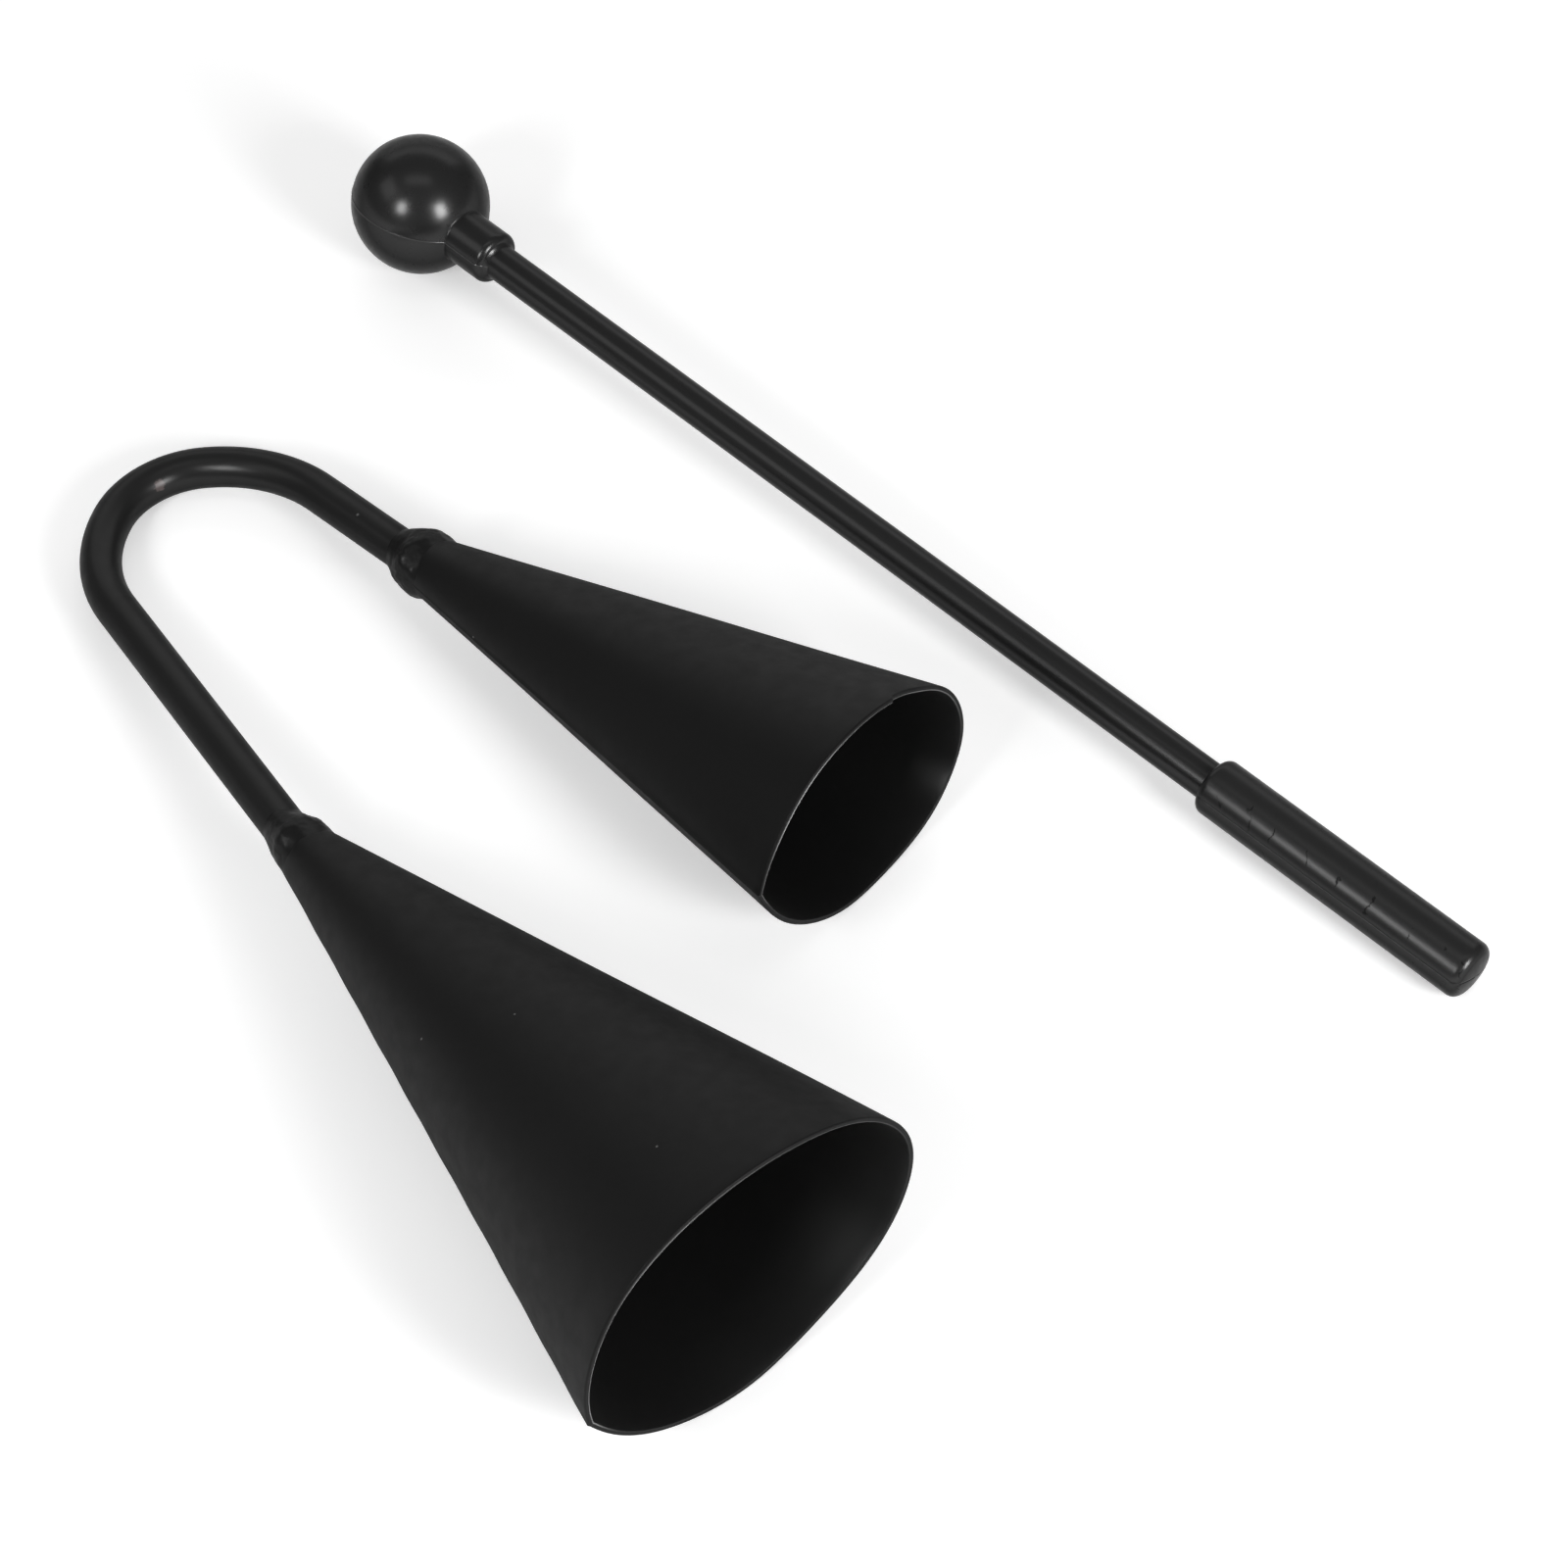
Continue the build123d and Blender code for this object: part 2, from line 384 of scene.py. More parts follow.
print("finish helpers ready")

# %% [markdown]
# A fine pale line runs round the inner corner of each cut rim, brightest on its upper side, with one
# brighter stretch. It is a painted highlight of the light that the rounded corner catches. The mesh
# carries it as an attribute called rim, and the finish mixes in a paler tone by it. Inside the bells
# nothing has rubbed the coat, so a second attribute, inside, gives it some gloss there. A few specks in
# the coat and a worn spot inside the bend come from a shared effect.

# %% Coated steel
# The pale rim tone is a painted highlight, mixed in along the rims; the specks and the worn spot are real
# marks.
SPECK_TONE, RIM_HIGHLIGHT_TONE, WORN_TONE = grey(0.1), grey(0.9), (0.075, 0.058, 0.056, 1)
INSIDE_ROUGHNESS = 0.32
SHEET_SPECKS = (
    ((-0.0297, -0.00935, 0.01668), 0.0003),
    ((0.06122, -0.08592, 0.03344), 0.0003),
    ((0.07419, -0.07227, 0.0438), 0.0003),
    ((0.12228, -0.07442, 0.05672), 0.0003),
)
BAR_SPECKS = (((-0.07759, -0.00713, 0.01452), 0.0004),)
BEND_WEAR = (
    ((-0.11975, -0.03396, 0.00733), 0.0016),
    ((-0.1182, -0.0345, 0.0058), 0.0009),
)


def coated_sheet():
    """Matte black coat of the bells: a painted highlight along the rims, some gloss inside and a few specks.
    """
    material, tree, shader, place = finish("coated_sheet", specular=0.125)
    tones = {"Dark": grey(0.0048), "Pale": grey(0.0064)}
    coat = skin(tree, coat_skin, place, **tones, Smooth=0.43, Rough=0.5, Grain=800.0)
    tone = marked(tree, coat["Color"], place, SHEET_SPECKS, SPECK_TONE)
    # Painted highlight: the rim attribute mixes a pale tone into the colour along the rims.
    tone = mixed(tree, attribute(tree, "rim"), tone, RIM_HIGHLIGHT_TONE)
    wire(tree, shader.inputs, {"Base Color": tone, "Coat Weight": attribute(tree, "inside")})
    shader.inputs["Coat Roughness"].default_value = INSIDE_ROUGHNESS
    dulled(tree, shader, coat["Roughness"], dulling=0.35)
    raise_skin(tree, shader, coat["Height"], strength=0.1, depth=0.00012)
    return material


def coated_bar():
    """The same coat on the bar, a little shinier, with a worn spot inside the bend."""
    material, tree, shader, place = finish("coated_bar", specular=0.06)
    tones = {"Dark": grey(0.008), "Pale": grey(0.011)}
    coat = skin(tree, coat_skin, place, **tones, Smooth=0.45, Rough=0.55, Grain=700.0)
    tone = marked(tree, coat["Color"], place, BEND_WEAR, WORN_TONE)
    tone = marked(tree, tone, place, BAR_SPECKS, SPECK_TONE)
    wire(tree, shader.inputs, {"Base Color": tone, "Roughness": coat["Roughness"]})
    glossed(tree, shader, weight=0.55, roughness=0.3)
    raise_skin(tree, shader, coat["Height"], strength=0.1, depth=0.00012)
    return material


def coated_weld():
    """Coat pooled over weld metal: darker, with a coarser peel and a gloss of its own."""
    material, tree, shader, place = finish("coated_weld", specular=0.07)
    tones = {"Dark": grey(0.0042), "Pale": grey(0.0056)}
    coat = skin(tree, coat_skin, place, **tones, Smooth=0.42, Rough=0.54, Grain=420.0)
    wire(tree, shader.inputs, {"Base Color": coat["Color"], "Roughness": coat["Roughness"]})
    glossed(tree, shader, weight=0.42, roughness=0.27)
    raise_skin(tree, shader, coat["Height"], strength=0.12, depth=0.0002)
    return material


sheet_finish, bar_finish, weld_finish = coated_sheet(), coated_bar(), coated_weld()
print("steel finishes:", sheet_finish.name, bar_finish.name, weld_finish.name)

# %% [markdown]
# ## Where the handle lies
# The U of the bar is flat, and it rests on the table at three points: the bend and both rims. In its
# own frame the middle of the bend is the origin and X runs along the middle line, so every steel piece
# is easy to write there, and one matrix lays the whole instrument down. Sizes there are in millimetres.

# %% The handle's frame
APEX_CENTRE = Vector((-102.999, -34.570, 6.889)) * MM
HANDLE_TURN = Euler((math.radians(1.2617), math.radians(-5.7385), 0.0))
to_table = Matrix.Translation(APEX_CENTRE) @ HANDLE_TURN.to_matrix().to_4x4()


def laid(points, matrix):
    """Points in a local frame in millimetres, as an array in the shared frame in metres."""
    turn = np.array(matrix.to_3x3())
    return np.asarray(points) * MM @ turn.T + np.array(matrix.translation)


print("middle of the bend lies", round(APEX_CENTRE.z / MM, 2), "mm above the table")

# %% Mesh helpers
SHARP_ANGLE = math.radians(48)


def band_faces(rings, wide, bands):
    """Faces of the bands between rings of points. After the last ring comes the first again."""
    faces = []
    for band in range(bands):
        here, there = band * wide, (band + 1) % rings * wide
        for column in range(wide):
            after = (column + 1) % wide
            faces.append((here + column, here + after, there + after, there + column))
    return faces


def face_outwards(mesh):
    """Recalculates a closed mesh's normals and shades it smooth, with its corners left sharp."""
    work = bmesh.new()
    work.from_mesh(mesh)
    bmesh.ops.recalc_face_normals(work, faces=work.faces)
    if work.calc_volume(signed=True) < 0:
        bmesh.ops.reverse_faces(work, faces=work.faces)
    work.to_mesh(mesh)
    work.free()
    mesh.shade_smooth()
    mesh.set_sharp_from_angle(angle=SHARP_ANGLE)


def piece_from(name, points, faces):
    """Object at the origin from points and faces, with its faces turned outwards."""
    mesh = bpy.data.meshes.new(name)
    mesh.from_pydata([tuple(point) for point in points], [], faces)
    face_outwards(mesh)
    return placed(name, mesh)


def carry(piece, name, values):
    """Gives each point of a piece a value under a name, for its finish to read."""
    mark = piece.data.attributes.new(name, "FLOAT", "POINT")
    mark.data.foreach_set("value", values)


def dress(piece, material, body, node):
    """Gives a finished piece its material and its body, and hides the CAD node it stands for."""
    piece.data.materials.clear()
    piece.data.materials.append(material)
    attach(piece, body)
    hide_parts(node)
    size = [round(length / MM, 1) for length in piece.dimensions]
    print(piece.name, len(piece.data.polygons), "faces, size mm", size)


def grown(name, tree, values):
    """Runs a geometry tree on an empty mesh and keeps its result as a plain mesh."""
    seed = placed(name + "_seed", bpy.data.meshes.new(name + "_seed"))
    modifier = seed.modifiers.new("tree", "NODES")
    modifier.node_group = tree
    sockets = {s.name: s.identifier for s in tree.interface.items_tree if s.in_out == "INPUT"}
    for label, value in values.items():
        modifier[sockets[label]] = value
    seen = bpy.context.evaluated_depsgraph_get()
    mesh = bpy.data.meshes.new_from_object(seed.evaluated_get(seen), depsgraph=seen)
    bpy.data.objects.remove(seed)
    mesh.name = name
    face_outwards(mesh)
    return placed(name, mesh)


print("mesh helpers ready")

# %% [markdown]
# ## The bent bar
# One round bar makes the handle. Its line is a tight arc at the apex, a wider arc at each shoulder, a
# straight leg, and a last small set into each neck. A sweep along that line is the natural way to make
# it, and a geometry tree does the sweep: the line goes in as a curve and comes out as a smooth tube.

# %% Bar line
BAR_RADIUS = 4.75
APEX_RADIUS, APEX_HALF_ANGLE = 20.9, 36.1
SHOULDER_RADIUS, LEG_SPLAY = 37.4, 6.0
SET_RADIUS, NECK_START, TIP_LENGTH = 30.0, 2.0, 12.0
ARC_STEP = 2.0
LEGS = {
    "large": {"side": -1, "length": 84.8, "set_angle": 5.3},
    "small": {"side": 1, "length": 28.5, "set_angle": 5.5},
}


def pointing(heading):
    """Unit vector of a heading in degrees."""
    return np.array([math.cos(math.radians(heading)), math.sin(math.radians(heading))])


def arc_on(points, heading, radius, turn):
    """Adds an arc that carries on from the last point. Angles are in degrees, left turns positive."""
    normal = heading + math.copysign(90, turn)
    centre = points[-1] + radius * pointing(normal)
    count = max(2, math.ceil(abs(turn) / ARC_STEP))
    for k in range(1, count + 1):
        points.append(centre + radius * pointing(normal + 180 + turn * k / count))
    return heading + turn


def straight_on(points, heading, length):
    """Adds a straight run in the direction of the heading."""
    points.append(points[-1] + length * pointing(heading))


def leg_line(bell):
    """Centreline from the middle of the bend to the bar's end, and the place and heading of the neck."""
    leg = LEGS[bell]
    side = leg["side"]
    points = [np.array([-APEX_RADIUS, 0.0])]
    heading = arc_on(points, side * 90, APEX_RADIUS, -side * APEX_HALF_ANGLE)
    heading = arc_on(points, heading, SHOULDER_RADIUS, -side * (90 - APEX_HALF_ANGLE - LEG_SPLAY))
    straight_on(points, heading, leg["length"])
    heading = arc_on(points, heading, SET_RADIUS, leg["set_angle"])
    straight_on(points, heading, NECK_START)
    neck = points[-1]
    straight_on(points, heading, TIP_LENGTH)
    return points, neck, heading


bar_line = leg_line("large")[0][::-1] + leg_line("small")[0][1:]
bar_line = laid([(x, y, 0.0) for x, y in bar_line], to_table)
print("bar line has", len(bar_line), "points")

# %% Bar sweep
BAR_SIDES, BAR_STEP = 56, 1.2 * MM


def ended(tree, given, out, shape):
    """Ends a geometry tree: its shape becomes real geometry, takes the finish that goes in, and goes out."""
    solid = add(tree, "GeometryNodeRealizeInstances", {0: shape.outputs[0]})
    coat = add(tree, "GeometryNodeSetMaterial", {"Geometry": solid.outputs[0], "Material": given["Finish"]})
    wire(tree, out, {"Geometry": coat.outputs[0]})
    return tree


def sweep_tree():
    """Geometry tree: a round tube along a curve object, closed at both ends."""
    sockets = {"Line": OBJECT, "Radius": NUMBER, "Step": NUMBER, "Finish": FINISH}
    inputs = [(label, socket, None) for label, socket in sockets.items()]
    tree, given, out = group_of("bar_sweep", "GeometryNodeTree", inputs, [("Geometry", GEOMETRY)])
    line = add(tree, "GeometryNodeObjectInfo", {"Object": given["Line"]}, transform_space="RELATIVE")
    even = add(tree, "GeometryNodeResampleCurve", {"Curve": line.outputs["Geometry"]}, mode="LENGTH")
    tree.links.new(given["Step"], even.inputs["Length"])
    ring = add(tree, "GeometryNodeCurvePrimitiveCircle", {"Resolution": BAR_SIDES, "Radius": given["Radius"]})
    ends = {"Curve": even.outputs[0], "Profile Curve": ring.outputs[0], "Fill Caps": True}
    tube = add(tree, "GeometryNodeCurveToMesh", ends)
    return ended(tree, given, out, tube)


def line_curve(name, points):
    """Curve of straight steps through the points of a line."""
    data = bpy.data.curves.new(name, "CURVE")
    data.dimensions = "3D"
    spline = data.splines.new("POLY")
    spline.points.add(len(points) - 1)
    spline.points.foreach_set("co", [value for point in points for value in (*point, 1.0)])
    return placed(name, data)


bar_curve = line_curve("bar_line", bar_line)
bar_sizes = {"Line": bar_curve, "Radius": BAR_RADIUS * MM, "Step": BAR_STEP, "Finish": bar_finish}
bar = grown("bent_bar", sweep_tree(), bar_sizes)
bpy.data.objects.remove(bar_curve)
dress(bar, bar_finish, "bell", "handle_rod")

# %% [markdown]
# ## The bells
# Each bell is one sheet rolled into a cone. The folded side of its mouth is half an oval, and on the
# other side the edges meet in a welded seam that stands a little proud, so that side comes to a slight
# peak. The mouth is not true: the small bell has a shallow nick where the cut wandered. A surface with
# such a rule is written straight into a mesh: rows run from the neck along the outside, round the cut
# edge, and back along the inside. A mark from 0 to 1 says how far round the section a point is.

# %% Bell sections
SHEET, NECK_RADIUS = 1.2, 6.05
BELLS = {
    "large": {"length": 149.0, "fold": 44.0, "seam": 36.3, "half_height": 30.7, "roll": 15.2},
    "small": {"length": 130.2, "fold": 32.9, "seam": 34.1, "half_height": 25.2, "roll": -5.9},
}
SECTION_SIZES = ("fold", "seam", "half_height")
FOLD_END, SEAM_MARK = 0.5, 0.75
QUARTER = SEAM_MARK - FOLD_END
FOLD_COLUMNS, SEAM_COLUMNS, CROWDING = 150, 48, 1.7


def neck_matrix(bell):
    """Frame of a bell's neck: z along the cone, x towards the folded side."""
    _, neck, heading = leg_line(bell)
    axis = Vector((*pointing(heading), 0))
    across = Vector((0, 0, 1)).cross(axis)
    local = Matrix((across, axis.cross(across), axis)).transposed().to_4x4()
    local.translation = Vector((*neck, 0)) * MM
    return to_table @ local @ Matrix.Rotation(math.radians(BELLS[bell]["roll"]), 4, "Z")


def column_marks():
    """Marks of the columns: even on the folded side, crowded towards the seam."""
    fold = np.linspace(0, FOLD_END, FOLD_COLUMNS, endpoint=False)
    towards = QUARTER * (1 - (1 - np.linspace(0, 1, SEAM_COLUMNS)) ** CROWDING)
    upper = FOLD_END + towards[:-1]
    lower = 1.0 - towards[::-1]
    return np.concatenate([fold, upper, lower[:-1]])


def section(marks, fold, seam, half_height):
    """Outline of the rolled sheet at each mark; the sizes may change from mark to mark."""
    radius = (seam ** 2 + half_height ** 2) / (2 * half_height)
    reach = np.arctan2(seam, radius - half_height)
    angle = np.radians(360 * marks - 90)
    folded = marks < FOLD_END
    upper = (marks >= FOLD_END) & (marks < SEAM_MARK)
    sweep = reach * np.where(upper, marks - FOLD_END, 1 - marks) / QUARTER
    rise = radius * np.cos(sweep) - (radius - half_height)
    x = np.where(folded, fold * np.cos(angle), -radius * np.sin(sweep))
    y = np.where(folded, half_height * np.sin(angle), np.where(upper, rise, -rise))
    return x, y


print("columns round a bell:", len(column_marks()))

# %% Cut mouth
CUT_BACK = 0.15
# Each wave of the cut has a depth, a number of crests and a phase.
CUT_WAVES = ((0.12, 3, 0.7), (0.08, 7, 0.0))
STEP_DEPTH, NICK_DEPTH = {"large": 0.135, "small": 0.45}, {"large": 0.0, "small": 0.7}
OUTER_ROUND, INNER_ROUND = 0.5, 0.25
ROWS_ALONG, ROWS_ROUND = 84, 7
Row = namedtuple("Row", "share depth trim line bright", defaults=(0.0, 0.0))


def smooth_step(value):
    """Eases a number from 0 to 1."""
    t = np.clip(value, 0, 1)
    return t * t * (3 - 2 * t)


def between(marks, start, rise, end, fall):
    """1 between two marks and 0 beyond them, with a rise and a fall of their own lengths."""
    return smooth_step((marks - start) / rise) * smooth_step((end - marks) / fall)


def rim_set_back(bell, marks):
    """How far the cut mouth falls short, in millimetres, round the section."""
    wander = sum(depth * np.sin(2 * np.pi * count * marks + phase) for depth, count, phase in CUT_WAVES)
    seam_step = STEP_DEPTH[bell] * between(marks, start=SEAM_MARK, rise=0.004, end=0.80, fall=0.04)
    nick = NICK_DEPTH[bell] * between(marks, start=0.397, rise=0.04, end=0.456, fall=0.0025)
    return CUT_BACK + wander + seam_step + nick


def sheet_rows():
    """Rows of the sheet: share of the height, depth into it, trim from the rim, painted highlight of the
    inner corner.
    """
    along = np.linspace(0, 1, ROWS_ALONG)
    corner = np.radians(np.linspace(0, 90, ROWS_ROUND))
    rows = [Row(share, 0.0, OUTER_ROUND) for share in along]
    for a in corner[1:]:
        rows.append(Row(1.0, OUTER_ROUND * (1 - math.cos(a)), OUTER_ROUND * (1 - math.sin(a))))
    for a in corner:
        depth, trim = SHEET - INNER_ROUND * (1 - math.sin(a)), INNER_ROUND * (1 - math.cos(a))
        # The inner corner's last two values are its share of painted highlight: a line round it and a glint.
        rows.append(Row(1.0, depth, trim, math.sin(2 * a), math.sqrt(math.cos(a))))
    return rows + [Row(share, SHEET, INNER_ROUND) for share in along[-2::-1]]


print("rows along a bell:", len(sheet_rows()))

# %% [markdown]
# A rolled sheet is never quite even, so broad shallow dents run along the cone, and the seam's ridge has
# the ripple of a hand-laid weld. The painted highlight on the rim depends on where the rim points: it is
# brightest on its upper side, where the light falls. Inside, the gloss grows towards the mouth.

# %% Bell sheets
RIDGE_WIDTH, RIDGE_HEIGHT = 0.006, 0.16
RIPPLE_HEIGHT, RIPPLE_LENGTH = 0.05, 1.6
# Dents have a number round the cone and a twist along it.
DENT_HEIGHT, DENTS = 0.10, ((2, 5.0), (5, -9.0))
# The painted highlight on the rim's inner corner grows towards its upper side, where the light falls.
LIT_BASE, LIT_UP, LIT_OUT = 0.3, 0.53, -0.25
LIT_LOWEST, LIT_EASE, LIT_LEAST = -0.3, 0.35, 0.04
RIM_HIGHLIGHT_COVER, GLINT_WIDTH = 0.5, 0.07
# The painted glint on a stretch of a rim has a strength and the mark of its middle.
RIM_GLINT = {"large": (0.3, 0.53), "small": (1.0, 0.63)}
INSIDE_GLOSS = {"large": 0.82, "small": 0.5}
DEEP_GLOSS, MOUTH_START, MOUTH_EASE = 0.5, 0.55, 0.4


def bell_points(bell):
    """Points of the sheet in the neck's frame, row by row."""
    size, marks = BELLS[bell], column_marks()
    end = size["length"] - rim_set_back(bell, marks)
    ridge = np.exp(-((marks - SEAM_MARK) / RIDGE_WIDTH) ** 2)
    points = []
    for row in sheet_rows():
        height = row.share * (end - row.trim)
        grow = height / size["length"]
        dents = [np.sin(2 * np.pi * count * marks + twist * grow) for count, twist in DENTS]
        raised = DENT_HEIGHT * grow * sum(dents)
        if row.depth == 0:
            raised += ridge * (RIDGE_HEIGHT + RIPPLE_HEIGHT * np.sin(2 * np.pi * height / RIPPLE_LENGTH))
        sizes = [NECK_RADIUS + (size[key] - NECK_RADIUS) * grow + raised - row.depth for key in SECTION_SIZES]
        x, y = section(marks, *sizes)
        points.append(np.stack([x, y, height], 1))
    return np.array(points)


def rim_highlight(bell, points):
    """How far the painted highlight covers each point: a line on the inner corner and one brighter glint."""
    size = BELLS[bell]
    strength, middle = RIM_GLINT[bell]
    bright = strength * np.exp(-((column_marks() - middle) / GLINT_WIDTH) ** 2)
    highlight = []
    for row, (x, y, _) in zip(sheet_rows(), points.transpose(0, 2, 1)):
        up, out = y / size["half_height"], x / np.where(x > 0, size["fold"], size["seam"])
        lit_side = smooth_step(LIT_BASE + LIT_UP * up + LIT_OUT * out)
        lit_side *= smooth_step((up - LIT_LOWEST) / LIT_EASE)
        line = row.line * (LIT_LEAST + (1 - LIT_LEAST) * lit_side)
        highlight.append(RIM_HIGHLIGHT_COVER * (line + row.bright * bright))
    return np.array(highlight)


def inside_gloss(bell):
    """Gloss of each row: none outside, some deep inside, and most near the mouth."""
    shares = np.array([row.share if row.depth == SHEET else 0.0 for row in sheet_rows()])
    gloss = DEEP_GLOSS + (1 - DEEP_GLOSS) * smooth_step((shares - MOUTH_START) / MOUTH_EASE)
    return INSIDE_GLOSS[bell] * np.where(shares > 0, gloss, 0.0)


def bell_sheet(bell):
    """The rolled sheet as one closed mesh, with the rim and inside attributes that its finish reads."""
    points = bell_points(bell)
    high, wide = points.shape[:2]
    faces = band_faces(high, wide, bands=high)
    piece = piece_from(bell + "_sheet", laid(points.reshape(-1, 3), neck_matrix(bell)), faces)
    carry(piece, "rim", rim_highlight(bell, points).ravel())
    carry(piece, "inside", np.repeat(inside_gloss(bell), wide))
    return piece


for bell in BELLS:
    dress(bell_sheet(bell), sheet_finish, "bell", bell + "_bell")

# %% [markdown]
# ## The weld beads
# Each neck is welded to the bar with a bead laid by hand, then drowned in coat, so bar, bead and cone
# run into each other. A geometry tree sweeps an oval round the neck, and then moves each point of its
# outer half to the metal under it, bar or cone, plus a rise. The rise ends smoothly at the front and rear
# of the bead, swells where a puddle of metal set, and has a little noise. Trees work in metres.

# %% Metal under a bead
BEND_SPREAD, CORNER_FILL = 2.8, 1.2 * MM


def off_axis(tree, way, reach, along):
    """Point at a distance from the neck's axis, in a direction from it, and at a place along it."""
    return vector(tree, "ADD", vector(tree, "SCALE", way, Scale=reach), joined(tree, Z=along))


def metal_under(tree, given, way, along):
    """Distance from the neck's axis to the bar or the cone, with the corner between them filled."""
    toward_fold = split(tree, way)["X"]
    behind = calc(tree, "MAXIMUM", calc(tree, "MULTIPLY_ADD", along, -1.0, -NECK_START * MM), 0.0)
    bend = calc(tree, "DIVIDE", calc(tree, "POWER", behind, 2.0), BEND_SPREAD * SET_RADIUS * MM)
    lean = vector(tree, "DOT_PRODUCT", way, given["Bar side"])
    bar_out = calc(tree, "MULTIPLY_ADD", bend, lean, BAR_RADIUS * MM)
    folded = calc(tree, "GREATER_THAN", toward_fold, 0.0)
    side = blended(tree, folded, given["Seam slope"], given["Fold slope"])
    extra = calc(tree, "SUBTRACT", side, given["Flank slope"])
    slope = calc(tree, "MULTIPLY_ADD", calc(tree, "POWER", toward_fold, 2.0), extra, given["Flank slope"])
    cone_out = calc(tree, "MULTIPLY_ADD", along, slope, NECK_RADIUS * MM)
    return calc(tree, "SMOOTH_MAX", bar_out, cone_out, CORNER_FILL)


print("a bead sits on a bar of", 2 * BAR_RADIUS, "mm and a neck of", 2 * NECK_RADIUS, "mm")

# %% Rise of a bead
LUMP_SCALE = 300.0


def lump_rise(tree, given, way, along):
    """Height of one larger lump on the bead."""
    far = vector(tree, "DISTANCE", off_axis(tree, way, NECK_RADIUS * MM, along), given["Lump"])
    fall = calc(tree, "POWER", calc(tree, "DIVIDE", far, given["Lump size"]), 2.0)
    left = calc(tree, "EXPONENT", calc(tree, "MULTIPLY", fall, -1.0))
    return calc(tree, "MULTIPLY", left, given["Lump height"])


def bead_rise(tree, given, way, share, along, place):
    """Height of the bead over the metal: a smooth hump along it, puddles round it, a lump and some noise."""
    hump = calc(tree, "MULTIPLY_ADD", calc(tree, "POWER", share, 2.0), -1.0, 1.0)
    hump = calc(tree, "POWER", calc(tree, "MAXIMUM", hump, 0.0), given["Blend"])
    part = split(tree, way)
    half_turn = calc(tree, "MULTIPLY", calc(tree, "ARCTAN2", part["Y"], part["X"]), 0.5)
    beat = calc(tree, "MULTIPLY", calc(tree, "SUBTRACT", half_turn, given["Join"]), given["Puddles"])
    swell = calc(tree, "ABSOLUTE", calc(tree, "SINE", beat))
    full = ramp(tree, swell, start=0.0, end=1.0, first=given["Low"], last=given["High"])
    full = calc(tree, "ADD", full, lump_rise(tree, given, way, along))
    lumps = calc(tree, "SUBTRACT", noise(tree, place, LUMP_SCALE, W=given["Seed"]), NOISE_MIDDLE)
    rough = calc(tree, "MULTIPLY", lumps, given["Uneven"])
    return calc(tree, "MULTIPLY", hump, calc(tree, "ADD", full, rough))


print("lumps of a bead are about", round(1 / LUMP_SCALE / MM, 1), "mm wide")

# %% Bead tree
BEAD_RING, BEAD_CORE, TUCK = 4.4 * MM, 1.5 * MM, 0.12 * MM
BEAD_COLUMNS, BEAD_ROWS = 180, 112
WANDER, WANDER_SCALE = 4 * MM, 0.8
BEAD_NUMBERS = (
    "Reach", "Middle", "Low", "High", "Blend", "Puddles", "Join", "Uneven", "Seed",
    "Lump size", "Lump height", "Fold slope", "Seam slope", "Flank slope",
)


def swept_oval(tree, reach):
    """An oval of a reach along the neck, swept round the neck as a closed ring."""
    ring = add(tree, "GeometryNodeCurvePrimitiveCircle", {"Resolution": BEAD_COLUMNS, "Radius": BEAD_RING})
    upright = add(tree, "GeometryNodeSetCurveNormal", {"Curve": ring.outputs[0]}, mode="Z_UP")
    circle = add(tree, "GeometryNodeCurvePrimitiveCircle", {"Resolution": BEAD_ROWS, "Radius": 1.0})
    size = joined(tree, X=BEAD_CORE, Y=reach, Z=1.0)
    oval = add(tree, "GeometryNodeTransform", {"Geometry": circle.outputs[0], "Scale": size})
    curves = {"Curve": upright.outputs[0], "Profile Curve": oval.outputs[0]}
    return add(tree, "GeometryNodeCurveToMesh", curves).outputs[0]


def bead_tree():
    """Geometry tree: an oval swept round the neck, its outer half drawn on to the metal and raised."""
    inputs = [(label, NUMBER, None) for label in BEAD_NUMBERS]
    inputs += [("Lump", ARROW, None), ("Bar side", ARROW, None), ("Finish", FINISH, None)]
    tree, given, out = group_of("weld_bead", "GeometryNodeTree", inputs, [("Geometry", GEOMETRY)])
    bead = swept_oval(tree, given["Reach"])
    spot = add(tree, "GeometryNodeInputPosition").outputs[0]
    part = split(tree, spot)
    flat = joined(tree, X=part["X"], Y=part["Y"])
    far, way = vector(tree, "LENGTH", flat), vector(tree, "NORMALIZE", flat)
    wander = calc(tree, "SUBTRACT", noise(tree, way, WANDER_SCALE, W=given["Seed"]), NOISE_MIDDLE)
    shift = calc(tree, "MULTIPLY_ADD", wander, WANDER, given["Middle"])
    along = calc(tree, "ADD", part["Z"], shift)
    share = calc(tree, "DIVIDE", part["Z"], given["Reach"])
    metal = calc(tree, "ADD", metal_under(tree, given, way, along), -TUCK)
    raised = calc(tree, "ADD", metal, bead_rise(tree, given, way, share, along, spot))
    reach = blended(tree, calc(tree, "GREATER_THAN", far, BEAD_RING), far, raised)
    place = off_axis(tree, way, reach, along)
    fitted = add(tree, "GeometryNodeSetPosition", {"Geometry": bead, "Position": place})
    return ended(tree, given, out, fitted)


weld_tree = bead_tree()
print("bead tree has", len(weld_tree.nodes), "nodes")

